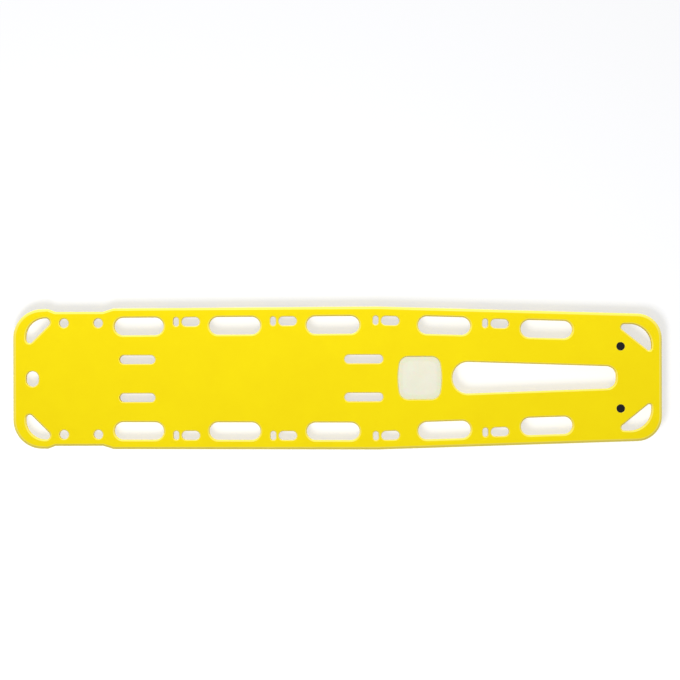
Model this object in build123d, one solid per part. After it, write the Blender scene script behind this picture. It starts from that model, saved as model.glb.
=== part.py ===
"""A full-length spine board: a hollow moulded plastic skin filled with foam.

The frame is in millimetres. X runs along the board from the head end to the foot end, Y runs
across it, and Z points up out of the deck. The origin lies midway along the board and midway
across it, on the surface that the board rests on.
"""

from build123d import *
import math
import os

# Outline of the board, seen from above
board_length = 1840
head_half_width = 198
recess_half_width = 190
shoulder_half_width = 199.4
widest_half_width = 203
foot_half_width = 179
head_lobe_length = 99
head_step_length = 20
recess_length = 136
shoulder_step_length = 29
widest_from_head = 1033
head_corner_radius = 82
foot_corner_radius = 71
step_radius = 14
widest_radius = 400

# Thickness of the board and of its skin
slab_depth = 29
belly_depth = 17
foot_proud = 1
skin = 3.5
rim_wall = 5
rim_top_chamfer = 5
rim_bottom_chamfer = 4
lip = 3

# Belly under the board, between the two rows of handholds
belly_to_handholds = 1
belly_draft = 5
belly_from_head = 58
belly_ramp = 20
belly_from_foot = 140.4
belly_corner_radius = 60
belly_chamfer = 3

# Rows of handholds: place along the row, length, and width of the grip bar outside the hole
first_handhold_from_head = 357
last_handhold_from_foot = 327
handhold_width = 50
handholds = (
    (0.000, 140, 26.5),
    (0.235, 145, 26.5),
    (0.476, 150, 26.5),
    (0.749, 149, 24.0),
    (1.000, 147, 26.5),
)

# Strap stations between the handholds: a small hole and a slot with a web between them
strap_hole_length = 15.5
strap_web = 8
strap_slot_length = 51
strap_slot_width = 25.5
strap_rim_width = 26.5
strap_station_shifts = (0, 0, -7.5, 0)
strap_bar_thickness = 3.5
strap_bar_height = 14
strap_bar_anchor = 5

# Round holes for a head immobiliser
head_hole_diameter = 26
head_hole_spacing_x = 97
head_hole_spacing_y = 316
head_holes_from_head = 192.5

# Openings on the centre line and beside it
end_hole_length = 35.5
end_hole_width = 44
end_hole_from_head = 54.5
inner_slot_width = 24.5
inner_slot_spacing = 108
head_slot_length = 101
head_slots_from_head = 352
foot_slot_length = 109
foot_slots_to_window = 42
leg_slot_length = 464
leg_slot_from_foot = 130
leg_slot_wide_half = 46.5
leg_slot_narrow_half = 31
leg_slot_wide_radius = 44
leg_slot_narrow_radius = 27

# Window between the inner slots and the leg slot
window_to_leg_slot = 31
window_length = 124
window_width = 122
window_bow = 9
window_corner_radius = 26
window_ledge = 6
window_thickness = 3
window_recess = 1
window_clearance = 0.3

# Triangular grips in the corners: rims left outside them, their two sides and three radii
head_grip_end_rim = 36
head_grip_side_rim = 26
head_grip_run = 85
head_grip_reach = 85
head_grip_radii = (55, 12, 10)
foot_grip_end_rim = 29
foot_grip_side_rim = 30
foot_grip_run = 103
foot_grip_reach = 83
foot_grip_radii = (62, 9, 7)

# Stiffener rods cast into the foam, one in each runner of the belly
rod_diameter = 14
rod_from_head = 120
rod_from_foot = 175
rod_above_belly = 18

# Rubber heels at the foot end of the runners
heel_width = 36
heel_length = 41
heel_land = 4
heel_bow = 2.2
heel_tip_thickness = 1.5

# Plugs that hold the heels from the deck
plug_from_foot = 117.4
plug_head_diameter = 23.5
plug_head_thickness = 2.5
plug_shank_width = 11
plug_depth_in_heel = 7
plug_clearance = 0.2
plug_boss_wall = 4

# Port in the belly that the foam was poured through, and its plug
port_from_head = 220
port_diameter = 14
port_plug_length = 6

# Heights
belly_z = foot_proud
slab_z = belly_z + belly_depth
deck_z = slab_z + slab_depth
mid_slab_z = slab_z + slab_depth / 2
ledge_z = deck_z - window_recess - window_thickness

# Places along the board
head_x = -board_length / 2
foot_x = board_length / 2
lobe_end_x = head_x + head_lobe_length
recess_start_x = lobe_end_x + head_step_length
recess_end_x = recess_start_x + recess_length
shoulder_x = recess_end_x + shoulder_step_length
widest_x = head_x + widest_from_head
belly_head_x = head_x + belly_from_head
belly_foot_x = foot_x - belly_from_foot
head_holes_x = head_x + head_holes_from_head
end_hole_x = head_x + end_hole_from_head
head_slots_x = head_x + head_slots_from_head
leg_slot_foot_x = foot_x - leg_slot_from_foot
leg_slot_head_x = leg_slot_foot_x - leg_slot_length
window_x = leg_slot_head_x - window_to_leg_slot - window_length / 2
foot_slots_x = window_x - window_length / 2 - foot_slots_to_window - foot_slot_length / 2
plug_x = foot_x - plug_from_foot
port_x = head_x + port_from_head

# Along a strap station, measured from its middle
strap_station_length = strap_hole_length + strap_web + strap_slot_length
strap_hole_x = (strap_hole_length - strap_station_length) / 2
strap_slot_x = (strap_station_length - strap_slot_length) / 2
strap_web_x = strap_slot_x - (strap_slot_length + strap_web) / 2


def half_width(x):
    """Half the board's width at x, past the shoulder."""
    if x < widest_x:
        share = (x - shoulder_x) / (widest_x - shoulder_x)
        return shoulder_half_width + share * (widest_half_width - shoulder_half_width)
    share = (x - widest_x) / (foot_x - widest_x)
    return widest_half_width + share * (foot_half_width - widest_half_width)


def side_angle(x):
    """Angle in degrees of the board's side to the X axis at x, on the +Y side."""
    return math.degrees(math.atan(half_width(x + 0.5) - half_width(x - 0.5)))


def both_sides(shape):
    """The shape and its mirror image on the other side of the board."""
    return [shape, mirror(shape, about=Plane.XZ)]


def grown(face, amount):
    """The face with its edge moved out by amount."""
    return offset(face, amount=amount)


def chorded(face):
    """The face with three chords in place of each arc in its outline."""
    points = []
    for edge in face.face().outer_wire().order_edges():
        steps = 1 if edge.geom_type == GeomType.LINE else 3
        points += [edge.position_at(step / steps) for step in range(steps)]
    return make_face(Polyline(*points, close=True))


def between(face, low_z, high_z):
    """The face's prism from one height up to another."""
    return Pos(0, 0, low_z) * extrude(face, high_z - low_z, dir=(0, 0, 1))


def through(faces):
    """Prisms of the faces that run past the board above and below."""
    return [between(face, -slab_depth, deck_z + slab_depth) for face in faces]


def round_hole(length, width):
    """A circle as wide as the opening, called as the slot and rectangle shapes are."""
    return Circle(width / 2)


def belly_half_width():
    """Half the belly's width, where it fits between the rows at their narrowest."""
    inner_edges = [half_width(x) - bar for x, _, bar in handhold_stations()]
    return min(inner_edges) - handhold_width - belly_to_handholds


def rod_y():
    """The middle of a stiffener rod, midway between the inner slots and the belly's side."""
    slots_edge = (inner_slot_spacing + inner_slot_width) / 2
    return (slots_edge + belly_half_width()) / 2


def heel_y():
    """The middle of a heel, which stands under the outer edge of its runner."""
    return belly_half_width() - belly_draft - heel_width / 2


def board_outline():
    """The outline of the board, as a face on the XY plane."""
    side = [
        ((head_x, head_half_width), head_corner_radius),
        ((lobe_end_x, head_half_width), step_radius),
        ((recess_start_x, recess_half_width), step_radius),
        ((recess_end_x, recess_half_width), step_radius),
        ((shoulder_x, shoulder_half_width), step_radius),
        ((widest_x, widest_half_width), widest_radius),
        ((foot_x, foot_half_width), foot_corner_radius),
    ]
    other = [((x, -y), radius) for (x, y), radius in reversed(side)]
    points = [point for point, _ in side + other]
    radii = [radius for _, radius in side + other]
    return make_face(FilletPolyline(*points, radius=radii, close=True))


def handhold_stations():
    """Centre x, length and grip bar width of each handhold in one row."""
    first_x = head_x + first_handhold_from_head
    row_length = foot_x - last_handhold_from_foot - first_x
    return [(first_x + place * row_length, length, bar) for place, length, bar in handholds]


def row_location(x, bar, width):
    """The middle of a row opening at x, turned along the board's side, with a bar outside it."""
    return Pos(x, half_width(x) - bar - width / 2) * Rot(0, 0, side_angle(x))


def handhold_faces(shape, grow=0):
    """The handholds of both rows, each made by shape from its length and width."""
    faces = []
    for x, length, bar in handhold_stations():
        face = shape(length + grow, handhold_width + grow)
        faces += both_sides(row_location(x, bar, handhold_width) * face)
    return faces


def strap_locations():
    """The middle of each strap station on the +Y side, midway between two handholds."""
    stations = handhold_stations()
    places = []
    for before, after, shift in zip(stations, stations[1:], strap_station_shifts):
        gap_start = before[0] + before[1] / 2
        gap_end = after[0] - after[1] / 2
        x = (gap_start + gap_end) / 2 + shift
        places.append(row_location(x, strap_rim_width, strap_slot_width))
    return places


def strap_faces():
    """The small hole and the slot of every strap station."""
    hole = SlotOverall(strap_slot_width, strap_hole_length, rotation=90)
    slot = SlotOverall(strap_slot_length, strap_slot_width)
    faces = []
    for place in strap_locations():
        faces += both_sides(place * Pos(strap_hole_x, 0) * hole)
        faces += both_sides(place * Pos(strap_slot_x, 0) * slot)
    return faces


def strap_pads():
    """Where the deck and the underside are moulded together round each strap station."""
    length = strap_station_length + 2 * skin
    width = strap_slot_width + 2 * (strap_bar_anchor + skin)
    faces = []
    for place in strap_locations():
        faces += both_sides(place * Rectangle(length, width))
    return faces


def head_hole_faces(shape, grow=0):
    """The four round holes for a head immobiliser."""
    spots = GridLocations(head_hole_spacing_x, head_hole_spacing_y, 2, 2)
    size = head_hole_diameter + grow
    return [Pos(head_holes_x, 0) * spot * shape(size, size) for spot in spots]


def end_hole_face(shape, grow=0):
    """The upright hole in the middle of the head end."""
    face = Rot(0, 0, 90) * shape(end_hole_width + grow, end_hole_length + grow)
    return Pos(end_hole_x, 0) * face


def inner_slot_faces(shape, grow=0):
    """Two pairs of strap slots near the centre line."""
    faces = []
    for x, length in ((head_slots_x, head_slot_length), (foot_slots_x, foot_slot_length)):
        face = shape(length + grow, inner_slot_width + grow)
        faces += both_sides(Pos(x, inner_slot_spacing / 2) * face)
    return faces


def leg_slot_face(wide_radius, narrow_radius):
    """The long slot between the legs, which narrows towards the foot end."""
    outline = FilletPolyline(
        (leg_slot_head_x, -leg_slot_wide_half),
        (leg_slot_head_x, leg_slot_wide_half),
        (leg_slot_foot_x, leg_slot_narrow_half),
        (leg_slot_foot_x, -leg_slot_narrow_half),
        radius=[wide_radius] * 2 + [narrow_radius] * 2,
        close=True,
    )
    return make_face(outline)


def window_face(grow=0):
    """The window's outline, with straight long sides and bowed ends."""
    side_x = window_length / 2 - window_bow
    side_y = window_width / 2
    bow = ThreePointArc((side_x, -side_y), (window_length / 2, 0), (side_x, side_y))
    side = Line((side_x, side_y), (-side_x, side_y))
    outline = [bow, side, mirror(bow, about=Plane.YZ), mirror(side, about=Plane.XZ)]
    face = make_face(outline)
    face = fillet(face.vertices(), window_corner_radius)
    return Pos(window_x, 0) * (grown(face, grow) if grow else face)


def corner_grip(x, y, run, reach, radii):
    """A triangle with its right angle at x, y, and one side along the board and one across it."""
    points = ((x, y), (x + run, y), (x, y - reach))
    return make_face(FilletPolyline(*points, radius=list(radii), close=True))


def corner_grip_box(x, y, run, reach, radii):
    """The same in straight lines, a skin's thickness outside it, with its right angle cut off."""
    cut = radii[0] * (2 - math.sqrt(2))
    points = ((x + math.copysign(cut, run), y), (x + run, y), (x, y - reach), (x, y - cut))
    return offset(Polygon(*points, align=None), amount=skin, kind=Kind.INTERSECTION)


def corner_grip_faces(shape):
    """The triangular grips in the four corners, each made by shape."""
    head_grip = shape(
        head_x + head_grip_end_rim,
        head_half_width - head_grip_side_rim,
        head_grip_run,
        head_grip_reach,
        head_grip_radii,
    )
    foot_grip_x = foot_x - foot_grip_end_rim
    foot_grip = shape(
        foot_grip_x,
        half_width(foot_grip_x - foot_grip_run / 2) - foot_grip_side_rim,
        -foot_grip_run,
        foot_grip_reach,
        foot_grip_radii,
    )
    return both_sides(head_grip) + both_sides(foot_grip)


def belly(inset=0):
    """The belly with a ramp at its head end, its walls moved in and its bottom up by inset."""
    head = belly_head_x + inset
    foot = belly_foot_x - inset
    half = belly_half_width() - inset
    radius = belly_corner_radius - inset
    levels = (
        (slab_z, 0, 0),
        (belly_z + belly_chamfer, belly_draft, belly_ramp),
        (belly_z, belly_draft + belly_chamfer, belly_ramp + belly_chamfer),
    )
    outlines = []
    for z, draft, ramp in levels:
        outline = FilletPolyline(
            (foot, draft - half),
            (head + ramp, draft - half),
            (head + ramp, half - draft),
            (foot, half - draft),
            radius=[0, radius, radius, 0],
            close=True,
        )
        face = make_face(outline)
        outlines.append(Pos(0, 0, z + inset) * (chorded(face) if inset else face))
    return loft(outlines, ruled=True)


def cut_with_lips(solid, faces):
    """Cut the faces through the solid and chamfer their mouths in the deck."""
    opened = solid - through(faces)
    rims = new_edges(solid, combined=opened)
    return chamfer(rims.filter_by_position(Axis.Z, deck_z, deck_z), lip)


def outer_board():
    """The outside of the board, with every opening but the window cut through it."""
    slab = between(board_outline(), slab_z, deck_z)
    slab = chamfer(slab.faces().sort_by(Axis.Z)[-1].edges(), rim_top_chamfer)
    slab = chamfer(slab.faces().sort_by(Axis.Z)[0].edges(), rim_bottom_chamfer)
    leg_slot = leg_slot_face(leg_slot_wide_radius, leg_slot_narrow_radius)
    grips = handhold_faces(SlotOverall) + corner_grip_faces(corner_grip)
    board = cut_with_lips(slab + belly(), grips + [leg_slot])
    small = (
        strap_faces()
        + head_hole_faces(round_hole)
        + inner_slot_faces(SlotOverall)
        + [end_hole_face(SlotOverall)]
    )
    return board - through(small)


def window_opening():
    """The window's opening, with a ledge all round for the panel to sit on."""
    below = between(window_face(-window_ledge), -slab_depth, ledge_z)
    return below + between(window_face(), ledge_z, deck_z + slab_depth)


def window_wall():
    """A block round the window's opening, a skin's thickness outside it."""
    length = window_length + 2 * skin
    width = window_width + 2 * skin
    lower = Rectangle(length - 2 * window_ledge, width - 2 * window_ledge)
    lower = Pos(window_x, 0) * lower
    upper = Pos(window_x, 0) * Rectangle(length, width)
    step_z = ledge_z - skin
    return between(lower, -slab_depth, step_z) + between(upper, step_z, deck_z + slab_depth)


def inside_of_skin():
    """The space inside the skin. It is boxed off round every opening."""
    outline = chorded(grown(board_outline(), -rim_wall))
    space = between(outline, slab_z + skin, deck_z - skin)
    space += belly(skin)
    boss_width = plug_head_diameter + 2 * plug_boss_wall
    boss = Pos(plug_x, heel_y()) * Rectangle(boss_width, boss_width)
    kept_solid = (
        handhold_faces(Rectangle, 2 * skin)
        + strap_pads()
        + head_hole_faces(Rectangle, 2 * skin)
        + [end_hole_face(Rectangle, 2 * skin)]
        + inner_slot_faces(Rectangle, 2 * skin)
        + [offset(leg_slot_face(0, 0), amount=skin, kind=Kind.INTERSECTION)]
        + corner_grip_faces(corner_grip_box)
        + both_sides(boss)
    )
    return space - through(kept_solid) - window_wall()


def heel_plug(clearance=0):
    """A push-in plug: a flush head in the deck, and a square shank that grips in the heel."""
    head = Pos(plug_x, heel_y()) * Circle(plug_head_diameter / 2 + clearance)
    shank_width = plug_shank_width + 2 * clearance
    shank = Pos(plug_x, heel_y()) * Rectangle(shank_width, shank_width)
    seat_z = deck_z - plug_head_thickness
    tip_z = slab_z - plug_depth_in_heel
    return between(head, seat_z, deck_z + clearance) + between(shank, tip_z, seat_z)


def heel():
    """A rubber wedge against the end of a runner, with a socket for its plug."""
    tip_x = belly_foot_x + heel_length
    land_x = belly_foot_x + heel_land
    tip_z = slab_z - heel_tip_thickness
    middle = Vector((land_x + tip_x) / 2, tip_z / 2)
    out = Vector(tip_z, land_x - tip_x).normalized()
    bow = ThreePointArc((land_x, 0), middle + out * heel_bow, (tip_x, tip_z))
    sides = Polyline((tip_x, tip_z), (tip_x, slab_z), (belly_foot_x, slab_z), (belly_foot_x, 0))
    land = Line((belly_foot_x, 0), (land_x, 0))
    section = Plane.XZ * make_face([bow, sides, land])
    wedge = Pos(0, heel_y()) * extrude(section, heel_width / 2, both=True)
    return wedge - heel_plug()


def stiffener_rod():
    """A rod along a runner, clear of the ends of the board."""
    start_x = head_x + rod_from_head
    length = foot_x - rod_from_foot - start_x
    start = Plane((start_x, rod_y(), belly_z + rod_above_belly), z_dir=(1, 0, 0))
    return extrude(start * Circle(rod_diameter / 2), length)


def strap_bars():
    """The flat bar moulded upright into each web of one row, which takes a strap's pull."""
    length = strap_slot_width + 2 * strap_bar_anchor
    bar = Box(strap_bar_thickness, length, strap_bar_height)
    return [place * Pos(strap_web_x, 0, mid_slab_z) * bar for place in strap_locations()]


def port_plug():
    """A disc, flush in the bottom of the belly."""
    disc = Pos(port_x, 0) * Circle(port_diameter / 2)
    return between(disc, belly_z, belly_z + port_plug_length)


def window_panel():
    """The milky panel that lies on the window's ledge."""
    return between(window_face(-window_clearance), ledge_z, ledge_z + window_thickness)


def main():
    rods = both_sides(stiffener_rod())
    heels = both_sides(heel())
    plugs = both_sides(heel_plug())
    port = port_plug()
    bars = {"left": strap_bars()}
    bars["right"] = [mirror(bar, about=Plane.XZ) for bar in bars["left"]]
    space = inside_of_skin()
    shell = outer_board() - space - window_opening() - port
    shell -= both_sides(heel_plug(plug_clearance)) + bars["left"] + bars["right"]
    pieces = {
        "board_shell": shell,
        "foam_core": space - rods - port,
        "window_panel": window_panel(),
        "foam_port_plug": port,
    }
    for side, rod, rubber, plug in zip(("left", "right"), rods, heels, plugs):
        pieces[f"stiffener_rod_{side}"] = rod
        pieces[f"heel_{side}"] = rubber
        pieces[f"heel_plug_{side}"] = plug
        for number, bar in enumerate(bars[side], start=1):
            pieces[f"strap_bar_{side}_{number}"] = bar
    os.makedirs("parts", exist_ok=True)
    for name, piece in pieces.items():
        export_step(piece, f"parts/{name}.step")


main()
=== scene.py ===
"""The looks of a foam-filled spine board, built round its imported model."""

import math
from collections import Counter

import bmesh
import bpy
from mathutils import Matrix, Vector


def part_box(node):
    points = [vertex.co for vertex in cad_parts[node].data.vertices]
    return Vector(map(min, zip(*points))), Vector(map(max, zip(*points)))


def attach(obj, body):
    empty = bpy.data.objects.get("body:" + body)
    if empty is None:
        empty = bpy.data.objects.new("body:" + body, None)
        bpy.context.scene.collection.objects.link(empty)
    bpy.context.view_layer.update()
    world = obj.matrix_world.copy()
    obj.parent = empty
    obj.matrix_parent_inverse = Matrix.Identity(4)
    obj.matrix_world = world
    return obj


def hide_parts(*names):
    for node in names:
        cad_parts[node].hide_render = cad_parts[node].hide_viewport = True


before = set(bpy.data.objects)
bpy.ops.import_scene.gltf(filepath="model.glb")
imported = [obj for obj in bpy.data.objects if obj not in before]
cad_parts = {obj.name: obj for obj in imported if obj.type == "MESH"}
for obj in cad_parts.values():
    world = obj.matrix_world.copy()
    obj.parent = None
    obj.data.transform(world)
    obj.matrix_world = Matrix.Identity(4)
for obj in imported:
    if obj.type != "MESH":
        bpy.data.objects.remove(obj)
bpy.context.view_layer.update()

MM = 0.001

# Heights of the board's flats: the deck on top, the slab's underside round the belly, which the
# heels touch, and the belly's underside
DECK_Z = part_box("board_shell")[1].z
SLAB_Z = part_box("heel_left")[1].z
BELLY_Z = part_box("board_shell")[0].z

# Heights of the moulding's chamfers
OPENING_CHAMFER = 3 * MM
RIM_TOP_CHAMFER = 5 * MM
RIM_BOTTOM_CHAMFER = 4 * MM
BELLY_CHAMFER = 3 * MM

# Soft lips: for each height that has them, their width where a flat meets a wall, and 0 where
# none does. The lips at a chamfer go by the chamfer's own width.
LIPS = {
    DECK_Z: 3.0 * MM,
    DECK_Z - OPENING_CHAMFER: 0,
    DECK_Z - RIM_TOP_CHAMFER: 0,
    SLAB_Z + RIM_BOTTOM_CHAMFER: 0,
    SLAB_Z: 2.0 * MM,
    BELLY_Z + BELLY_CHAMFER: 0,
    BELLY_Z: 2.0 * MM,
}
# A chamfer's two lips nearly meet in its middle, so that it looks round
SHARE_OF_CHAMFER = 0.47
WIDEST_LIP = 3.4 * MM
# Under the slab, a lip leaves room beside the belly
SHARE_OF_GAP = 0.4
NARROWEST_LIP = 0.4 * MM
# Nearer to a heel plug than the plug's width, lips are narrow
PLUG_BOXES = [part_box(name) for name in ("heel_plug_left", "heel_plug_right")]
PLUG_CENTRES = [((low + high) / 2).xy for low, high in PLUG_BOXES]
PLUG_REACH = PLUG_BOXES[0][1].x - PLUG_BOXES[0][0].x
PLUG_LIP = 0.7 * MM
LIP_STEPS = 4

# In degrees: an edge that gets a lip turns by more than the first, one between a flat and a wall
# by more than the second, and faces that turn by less than the third are shaded as one
LIP_TURN = 30
WALL_TURN = 60
SMOOTH_TURN = 35
# A chamfer's face is neither level nor upright, and is narrow
CHAMFER_NORMAL_Z = (0.3, 0.95)
WIDEST_CHAMFER = 8 * MM

# How near to each other two heights, and two points, count as one
SAME_HEIGHT = 0.005 * MM
SAME_POINT = 0.002 * MM
SPOT_GRID = 0.001 * MM
# Two faces whose normals' cross product is shorter than this are in line
IN_LINE = 0.02

# Sockets of a Mix node that mixes colours
MIX_SHARE, MIX_FIRST, MIX_SECOND, MIX_RESULT = 0, 6, 7, 2


# Node trees

def new_group(name, inputs, outputs):
    """A shader node group with a vector and numbers in, and numbers out."""
    tree = bpy.data.node_groups.new(name, "ShaderNodeTree")
    tree.interface.new_socket("Vector", in_out="INPUT", socket_type="NodeSocketVector")
    for label, default in inputs:
        socket = tree.interface.new_socket(
            label, in_out="INPUT", socket_type="NodeSocketFloat"
        )
        socket.default_value = default
    for label in outputs:
        tree.interface.new_socket(label, in_out="OUTPUT", socket_type="NodeSocketFloat")
    return tree, tree.nodes.new("NodeGroupInput"), tree.nodes.new("NodeGroupOutput")


def feed(tree, socket, value):
    """Links an output to an input socket, or gives the socket a plain value."""
    if isinstance(value, bpy.types.NodeSocket):
        tree.links.new(value, socket)
    else:
        socket.default_value = value


def source_of(socket):
    """The output that feeds an input socket."""
    return socket.links[0].from_socket


def math_node(tree, operation, *values):
    """A Math node's result; its values are sockets or numbers."""
    node = tree.nodes.new("ShaderNodeMath")
    node.operation = operation
    for place, value in enumerate(values):
        feed(tree, node.inputs[place], value)
    return node.outputs[0]


def noise(tree, vector, scale, detail, roughness=0.5):
    """A Noise Texture's value; scale is a number or a socket."""
    node = tree.nodes.new("ShaderNodeTexNoise")
    node.inputs["Detail"].default_value = detail
    node.inputs["Roughness"].default_value = roughness
    feed(tree, node.inputs["Scale"], scale)
    feed(tree, node.inputs["Vector"], vector)
    return node.outputs["Fac"]


def spread(tree, value, low, high):
    """Maps a 0 to 1 value onto low to high."""
    node = tree.nodes.new("ShaderNodeMapRange")
    feed(tree, node.inputs["To Min"], low)
    feed(tree, node.inputs["To Max"], high)
    feed(tree, node.inputs["Value"], value)
    return node.outputs["Result"]


def mixed(tree, share, first, second, blend="MIX"):
    """A mix of two colours; each value is a socket or a plain one."""
    node = tree.nodes.new("ShaderNodeMix")
    node.data_type = "RGBA"
    node.blend_type = blend
    feed(tree, node.inputs[MIX_SHARE], share)
    feed(tree, node.inputs[MIX_FIRST], first)
    feed(tree, node.inputs[MIX_SECOND], second)
    return node.outputs[MIX_RESULT]


def opaque(colour):
    """A colour with full alpha."""
    return (*colour, 1)


# Materials

SWELLS_PER_METRE = 24.0


def moulded_grain():
    """The fine skin of a moulded piece: its height in mm, its mottling and how dull it is."""
    tree, given, out = new_group(
        "moulded grain",
        (
            ("Grain per metre", 700.0),
            ("Mottle per metre", 9.0),
            ("Roughness low", 0.40),
            ("Roughness high", 0.52),
            ("Grain depth mm", 0.02),
            ("Swell depth mm", 0.15),
        ),
        ("Height", "Mottle", "Roughness"),
    )
    given = given.outputs
    pebble = noise(tree, given["Vector"], given["Grain per metre"], detail=3.0, roughness=0.55)
    swell = noise(tree, given["Vector"], SWELLS_PER_METRE, detail=1.0)
    mottle = noise(tree, given["Vector"], given["Mottle per metre"], detail=3.0, roughness=0.6)
    fine = math_node(tree, "MULTIPLY", pebble, given["Grain depth mm"])
    height = math_node(tree, "MULTIPLY_ADD", swell, given["Swell depth mm"], fine)
    half_mottle = math_node(tree, "MULTIPLY", mottle, 0.5)
    dull = math_node(tree, "MULTIPLY_ADD", pebble, 0.5, half_mottle)
    rough = spread(tree, dull, given["Roughness low"], given["Roughness high"])
    feed(tree, out.inputs["Height"], height)
    feed(tree, out.inputs["Mottle"], mottle)
    feed(tree, out.inputs["Roughness"], rough)
    return tree


GRAIN = moulded_grain()


def moulded_material(
    name, dark, light, grain=700.0, mottle=9.0, rough=(0.4, 0.52), depth=0.02, swell=0.0,
    specular=0.5
):
    """A moulded plastic or rubber, mottled from dark to light; its depths are in mm."""
    material = bpy.data.materials.new(name)
    material.use_nodes = True
    tree = material.node_tree
    shader = tree.nodes["Principled BSDF"].inputs
    place = tree.nodes.new("ShaderNodeTexCoord")
    skin = tree.nodes.new("ShaderNodeGroup")
    skin.node_tree = GRAIN
    for label, value in (
        ("Vector", place.outputs["Object"]),
        ("Grain per metre", grain),
        ("Mottle per metre", mottle),
        ("Roughness low", rough[0]),
        ("Roughness high", rough[1]),
        ("Grain depth mm", depth),
        ("Swell depth mm", swell),
    ):
        feed(tree, skin.inputs[label], value)
    bump = tree.nodes.new("ShaderNodeBump")
    bump.inputs["Strength"].default_value = 1.0
    bump.inputs["Distance"].default_value = MM
    feed(tree, bump.inputs["Height"], skin.outputs["Height"])
    colour = mixed(tree, skin.outputs["Mottle"], opaque(dark), opaque(light))
    feed(tree, shader["Base Color"], colour)
    feed(tree, shader["Roughness"], skin.outputs["Roughness"])
    feed(tree, shader["Normal"], bump.outputs["Normal"])
    shader["Specular IOR Level"].default_value = specular
    return material


def pale_lips_for_wear_and_highlight(material, pale, share, smoother):
    """Makes a material smoother, and paler for wear and a painted highlight, where the mesh is
    marked as lip.
    """
    tree = material.node_tree
    shader = tree.nodes["Principled BSDF"].inputs
    lip = tree.nodes.new("ShaderNodeAttribute")
    lip.attribute_name = "lip"
    # The paler lips are partly wear and partly a painted highlight
    wear_and_highlight = math_node(tree, "MULTIPLY", lip.outputs["Fac"], share)
    colour = mixed(tree, wear_and_highlight, source_of(shader["Base Color"]), opaque(pale))
    rough = source_of(shader["Roughness"])
    rough = math_node(tree, "MULTIPLY_ADD", lip.outputs["Fac"], -smoother, rough)
    feed(tree, shader["Base Color"], colour)
    feed(tree, shader["Roughness"], rough)


# The window panel's painted rings from its middle, 0, to its edge, 1: plain, painted shade,
# greener, over the ledge that it rests on, and a pale yellow painted highlight at the very edge
WINDOW_SHADE_RINGS = (
    (0.74, (1.0, 1.0, 1.0)),
    (0.83, (0.955, 0.965, 0.90)),
    (0.92, (0.96, 0.965, 0.89)),
    (0.98, (1.0, 0.97, 0.72)),
)
WINDOW_SQUARENESS = 5.0


def window_rings(tree):
    """0 at the window panel's middle and 1 at its edge, in rings with round corners."""
    low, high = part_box("window_panel")
    middle = (low + high) / 2
    half = (high - low) / 2
    place = tree.nodes.new("ShaderNodeTexCoord")
    mapping = tree.nodes.new("ShaderNodeMapping")
    mapping.vector_type = "TEXTURE"
    mapping.inputs["Location"].default_value = (middle.x, middle.y, 0)
    mapping.inputs["Scale"].default_value = (half.x, half.y, 1)
    feed(tree, mapping.inputs["Vector"], place.outputs["Object"])
    parts = tree.nodes.new("ShaderNodeSeparateXYZ")
    feed(tree, parts.inputs["Vector"], mapping.outputs["Vector"])
    powers = []
    for axis in ("X", "Y"):
        distance = math_node(tree, "ABSOLUTE", parts.outputs[axis])
        powers.append(math_node(tree, "POWER", distance, WINDOW_SQUARENESS))
    return math_node(
        tree, "POWER", math_node(tree, "ADD", *powers), 1 / WINDOW_SQUARENESS
    )


def paint_window_shade_rings(material):
    """Paints shade and a highlight on the window panel in rings, and lets a little light into
    it.
    """
    tree = material.node_tree
    shader = tree.nodes["Principled BSDF"].inputs
    bands = tree.nodes.new("ShaderNodeValToRGB")
    tones = bands.color_ramp.elements
    first, *between, last = WINDOW_SHADE_RINGS
    for tone, (ring, ring_shade) in zip(tones, (first, last)):
        tone.position = ring
        tone.color = opaque(ring_shade)
    for ring, ring_shade in between:
        tones.new(ring).color = opaque(ring_shade)
    feed(tree, bands.inputs["Fac"], window_rings(tree))
    plain = source_of(shader["Base Color"])
    # The rings are painted shade over the ledge and a painted highlight at the edge
    ring_shaded = mixed(tree, 1.0, plain, bands.outputs["Color"], blend="MULTIPLY")
    feed(tree, shader["Base Color"], ring_shaded)
    shader["Subsurface Weight"].default_value = 0.25
    shader["Subsurface Scale"].default_value = 4 * MM


# Satin polyethylene, coloured right through, with lips paler from wear and a painted highlight
YELLOW = moulded_material(
    "yellow moulded skin", (0.94, 0.725, 0.0), (1.0, 0.81, 0.0), swell=0.12, specular=0.14
)
pale_lips_for_wear_and_highlight(YELLOW, (1.0, 0.87, 0.24), share=0.5, smoother=0.12)

# Dull rubber of the heels
RUBBER = moulded_material(
    "black rubber", (0.010, 0.010, 0.011), (0.020, 0.020, 0.021), grain=900.0,
    rough=(0.68, 0.82), depth=0.05, specular=0.3
)

# Moulded plastic of the plugs that hold the heels
PLUG = moulded_material(
    "black plug", (0.004, 0.004, 0.004), (0.008, 0.008, 0.008), rough=(0.5, 0.62),
    specular=0.15
)

# Undyed polyethylene of the window
MILKY = moulded_material(
    "milky panel", (0.88, 0.855, 0.68), (0.93, 0.905, 0.76), mottle=25.0, rough=(0.3, 0.4),
    swell=0.1, specular=0.3
)
paint_window_shade_rings(MILKY)

# Pale closed-cell foam
FOAM = moulded_material(
    "foam", (0.78, 0.70, 0.46), (0.88, 0.82, 0.62), grain=450.0, rough=(0.85, 0.95), depth=0.3
)

# Glass fibre in resin, of the rods and the strap bars
FIBRE = moulded_material(
    "glass fibre", (0.50, 0.56, 0.40), (0.66, 0.70, 0.55), mottle=60.0, rough=(0.3, 0.45)
)


# Shapes

def near(first, second):
    """Whether two heights are the same."""
    return abs(first - second) < SAME_HEIGHT


def level_at(item, height):
    """Whether all of an edge or face lies at a height."""
    return all(near(vert.co.z, height) for vert in item.verts)


def spot_key(vert):
    """A name for a point's place that both copies of a split point share."""
    return tuple(round(value / SPOT_GRID) for value in vert.co)


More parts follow.
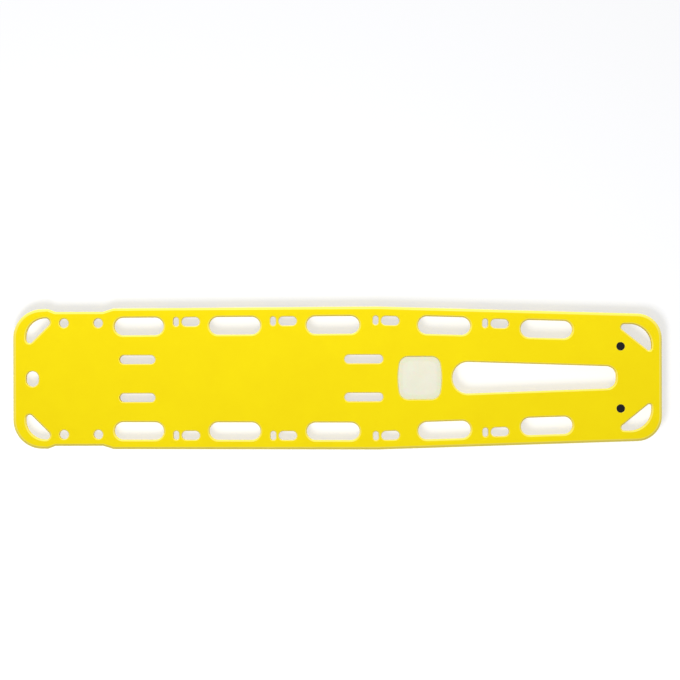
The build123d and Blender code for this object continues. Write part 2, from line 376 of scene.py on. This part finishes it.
def chamfer_slant(face):
    """How wide a chamfer's face is, down its slope; 0 for any other face."""
    heights = [vert.co.z for vert in face.verts]
    slant = (max(heights) - min(heights)) * math.sqrt(2)
    least, most = CHAMFER_NORMAL_Z
    return slant if least < abs(face.normal.z) < most and slant < WIDEST_CHAMFER else 0


def lip_width(edge):
    """How wide the soft lip of an edge is; 0 where the edge stays as it is."""
    turn = math.degrees(edge.calc_face_angle_signed(0.0))
    for height, at_wall in LIPS.items():
        if turn > LIP_TURN and level_at(edge, height):
            if turn > WALL_TURN:
                return at_wall
            slant = max(chamfer_slant(face) for face in edge.link_faces)
            return min(SHARE_OF_CHAMFER * slant, WIDEST_LIP)
    return 0


def room_for_lip(vert, belly_side):
    """Keeps a lip off the heel plugs, and off the belly where a handhold runs beside it."""
    if near(vert.co.z, DECK_Z):
        if any((vert.co.xy - plug).length < PLUG_REACH for plug in PLUG_CENTRES):
            return PLUG_LIP
    if near(vert.co.z, SLAB_Z):
        return max(NARROWEST_LIP, SHARE_OF_GAP * (abs(vert.co.y) - belly_side))
    return math.inf


def lip_edges(mesh, belly_side):
    """The edges that get lips, in closed rings, and the width at each of their points."""
    widths = {edge: lip_width(edge) for edge in mesh.edges if len(edge.link_faces) == 2}
    chosen = {edge for edge, width in widths.items() if width}
    while True:
        rings = Counter(vert for edge in chosen for vert in edge.verts)
        loose = {e for e in chosen if any(rings[vert] != 2 for vert in e.verts)}
        if not loose:
            break
        chosen -= loose
    at_point = {}
    for edge in chosen:
        for vert in edge.verts:
            width = min(widths[edge], room_for_lip(vert, belly_side))
            at_point[spot_key(vert)] = min(width, at_point.get(spot_key(vert), width))
    return [edge for edge in mesh.edges if edge in chosen], at_point


def inward(loop):
    """The direction from a face's edge into the face, and the face's normal."""
    along = (loop.link_loop_next.vert.co - loop.vert.co).normalized()
    return loop.face.normal.cross(along), loop.face.normal.copy()


def drawn_back(vert, width):
    """Where a point goes when its faces end short of the edge by the width."""
    sides = [inward(edge.link_loops[0]) for edge in vert.link_edges if edge.is_boundary]
    (first, normal_1), (second, normal_2) = sides
    crease = normal_1.cross(normal_2)
    if crease.length > IN_LINE:
        crease.normalize()
        move = crease / crease.dot(first)
    else:
        move = (first + second) / (1 + first.dot(second))
    return vert.co + width * move


def lip_arc(mesh, lip_layer, corner, start, stop):
    """A lip's points across an edge, curved towards the corner that it replaces."""
    arc = [start]
    for step in range(1, LIP_STEPS):
        t = step / LIP_STEPS
        point = (1 - t) ** 2 * start.co + 2 * t * (1 - t) * corner + t * t * stop.co
        arc.append(mesh.verts.new(point))
        arc[-1][lip_layer] = 1.0
    return [*arc, stop]


def soften(mesh, belly_side):
    """Rounds the level edges of the moulding, and marks chamfers and new points as lip."""
    mesh.normal_update()
    # The lip mark, which the yellow skin turns paler as wear and a painted highlight
    lip_layer = mesh.verts.layers.float.new("lip")
    chosen, at_point = lip_edges(mesh, belly_side)
    bmesh.ops.split_edges(mesh, edges=chosen)
    for vert in mesh.verts:
        if all(chamfer_slant(face) for face in vert.link_faces):
            vert[lip_layer] = 1.0

    # The two copies of each split point, and where they go
    keys = {vert: spot_key(vert) for vert in mesh.verts if vert.is_boundary}
    keys = {vert: key for vert, key in keys.items() if key in at_point}
    ends = {}
    for vert, key in keys.items():
        ends.setdefault(key, []).append(vert)
    places = {vert: drawn_back(vert, at_point[key]) for vert, key in keys.items()}

    # One of each split edge's two copies, as its face goes round
    sides = {}
    for edge in mesh.edges:
        if edge.is_boundary:
            loop = edge.link_loops[0]
            spots = frozenset(spot_key(vert) for vert in edge.verts)
            sides.setdefault(spots, (loop.vert, loop.link_loop_next.vert))

    for vert, place in places.items():
        vert.co = place
    arcs = {
        key: lip_arc(mesh, lip_layer, Vector(key) * SPOT_GRID, *pair) for key, pair in ends.items()
    }
    for first, second in sides.values():
        left, right = arcs[keys[first]], arcs[keys[second]]
        left = left if left[0] == first else left[::-1]
        right = right if right[0] == second else right[::-1]
        for step in range(LIP_STEPS):
            mesh.faces.new((right[step], left[step], left[step + 1], right[step + 1]))


def refill(mesh, height, up):
    """Fills the flat at a height again, so that no long face crosses a lip."""
    level = [face for face in mesh.faces if level_at(face, height)]
    bmesh.ops.delete(mesh, geom=level, context="FACES")
    rim = [edge for edge in mesh.edges if edge.is_boundary and level_at(edge, height)]
    made = bmesh.ops.triangle_fill(mesh, use_beauty=True, edges=rim, normal=(0, 0, up))
    for face in made["geom"]:
        if isinstance(face, bmesh.types.BMFace):
            face.normal_update()
            if face.normal.z * up < 0:
                face.normal_flip()


def moulded_skin(material):
    """The board's skin with soft lips, in place of its CAD piece."""
    mesh = bmesh.new()
    mesh.from_mesh(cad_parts["board_shell"].data)
    bmesh.ops.remove_doubles(mesh, verts=mesh.verts, dist=SAME_POINT)
    belly_edge_z = BELLY_Z + BELLY_CHAMFER
    belly_side = max(abs(v.co.y) for v in mesh.verts if near(v.co.z, belly_edge_z))
    soften(mesh, belly_side)
    for height, up in ((DECK_Z, 1), (SLAB_Z, -1), (BELLY_Z, -1)):
        refill(mesh, height, up)
    for face in mesh.faces:
        face.smooth = True
    for edge in mesh.edges:
        edge.smooth = edge.calc_face_angle(0.0) < math.radians(SMOOTH_TURN)
    data = bpy.data.meshes.new("moulded_skin")
    mesh.to_mesh(data)
    mesh.free()
    data.materials.append(material)
    piece = bpy.data.objects.new("moulded_skin", data)
    bpy.context.scene.collection.objects.link(piece)
    shading = piece.modifiers.new("flats stay flat", "WEIGHTED_NORMAL")
    shading.keep_sharp = True
    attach(piece, "root")
    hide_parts("board_shell")


moulded_skin(YELLOW)

# The other CAD pieces' materials; the first name that a piece's name begins with counts
FINISHES = (
    ("heel_plug", PLUG),
    ("heel", RUBBER),
    ("window_panel", MILKY),
    ("foam_core", FOAM),
    ("foam_port_plug", YELLOW),
    ("stiffener_rod", FIBRE),
    ("strap_bar", FIBRE),
)
for name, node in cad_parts.items():
    for start, material in FINISHES:
        if name.startswith(start):
            node.data.materials.clear()
            node.data.materials.append(material)
            break


# Floor, light and camera

FLOOR_HALF = 30
PAPER = (0.89, 0.90, 0.945)
# How much of the paper is white light that only the camera sees; the rest takes shadows
PAPER_GLOW = 0.66
# The surround as the camera and gloss see it, and as it lights
SURROUND_SEEN = 1.0
SURROUND_LIGHT = 0.46
# One lamp lights the floor and one the board, because in the photograph the shadow falls up the
# picture, while the lips are lit from above
SHADOW_LAMP = {"power": 190, "size": 1.5, "spot": (-0.9, -2.0, 3.6)}
BOARD_LAMP = {"power": 188, "size": 2.0, "spot": (-0.45, 3.6, 3.1)}
# The camera looks straight down, turned a touch, and sees this width at the deck's height
CAMERA_SPOT = (0.0071, 0.1083, 12.0)
CAMERA_TURN = -0.16
SEEN_WIDTH = 1.928
SENSOR_WIDTH = 36


def floor_material():
    """White paper, bright to the camera, that keeps a soft shadow."""
    material = bpy.data.materials.new("white paper")
    material.use_nodes = True
    tree = material.node_tree
    out = tree.nodes["Material Output"]
    tree.nodes.remove(tree.nodes["Principled BSDF"])
    paper = tree.nodes.new("ShaderNodeBsdfDiffuse")
    paper.inputs["Color"].default_value = opaque(PAPER)
    glow = tree.nodes.new("ShaderNodeEmission")
    glow.inputs["Color"].default_value = (1, 1, 1, 1)
    glow.inputs["Strength"].default_value = 1.0
    path = tree.nodes.new("ShaderNodeLightPath")
    mix = tree.nodes.new("ShaderNodeMixShader")
    share = math_node(tree, "MULTIPLY", path.outputs["Is Camera Ray"], PAPER_GLOW)
    feed(tree, mix.inputs["Fac"], share)
    tree.links.new(paper.outputs[0], mix.inputs[1])
    tree.links.new(glow.outputs[0], mix.inputs[2])
    tree.links.new(mix.outputs[0], out.inputs["Surface"])
    return material


def make_floor():
    """A large sheet that the board lies on."""
    data = bpy.data.meshes.new("floor")
    signs = ((-1, -1), (1, -1), (1, 1), (-1, 1))
    corners = [(x * FLOOR_HALF, y * FLOOR_HALF, 0) for x, y in signs]
    data.from_pydata(corners, [], [(0, 1, 2, 3)])
    sheet = bpy.data.objects.new("floor", data)
    sheet.data.materials.append(floor_material())
    bpy.context.scene.collection.objects.link(sheet)
    return sheet


def make_world():
    """An even white surround."""
    world = bpy.data.worlds.new("surround")
    bpy.context.scene.world = world
    world.use_nodes = True
    tree = world.node_tree
    light = tree.nodes["Background"].inputs
    light["Color"].default_value = (1, 1, 1, 1)
    path = tree.nodes.new("ShaderNodeLightPath").outputs
    seen = math_node(tree, "MAXIMUM", path["Is Camera Ray"], path["Is Glossy Ray"])
    seen = math_node(tree, "MAXIMUM", seen, path["Is Transmission Ray"])
    feed(tree, light["Strength"], spread(tree, seen, SURROUND_LIGHT, SURROUND_SEEN))


def lamp(name, lit, power, size, spot):
    """A square soft lamp that points at the board's middle and lights only what is named."""
    data = bpy.data.lights.new(name, "AREA")
    data.energy = power
    data.size = size
    made = bpy.data.objects.new(name, data)
    made.location = spot
    made.rotation_mode = "QUATERNION"
    made.rotation_quaternion = (-Vector(spot)).to_track_quat("-Z", "Y")
    bpy.context.scene.collection.objects.link(made)
    group = bpy.data.collections.new(name + " lights")
    for thing in lit:
        group.objects.link(thing)
    made.light_linking.receiver_collection = group


def make_camera():
    """The photograph's view from above."""
    data = bpy.data.cameras.new("camera")
    data.sensor_width = SENSOR_WIDTH
    data.lens = SENSOR_WIDTH * (CAMERA_SPOT[2] - DECK_Z) / SEEN_WIDTH
    data.clip_end = 100
    made = bpy.data.objects.new("camera", data)
    made.location = CAMERA_SPOT
    made.rotation_euler = (0, 0, math.radians(CAMERA_TURN))
    bpy.context.scene.collection.objects.link(made)
    bpy.context.scene.camera = made


sheet = make_floor()
make_world()
board = [o for o in bpy.context.scene.objects if o.type == "MESH" and o is not sheet]
lamp("shadow lamp", [sheet], **SHADOW_LAMP)
lamp("board lamp", board, **BOARD_LAMP)
make_camera()
bpy.context.scene.view_settings.view_transform = "Standard"
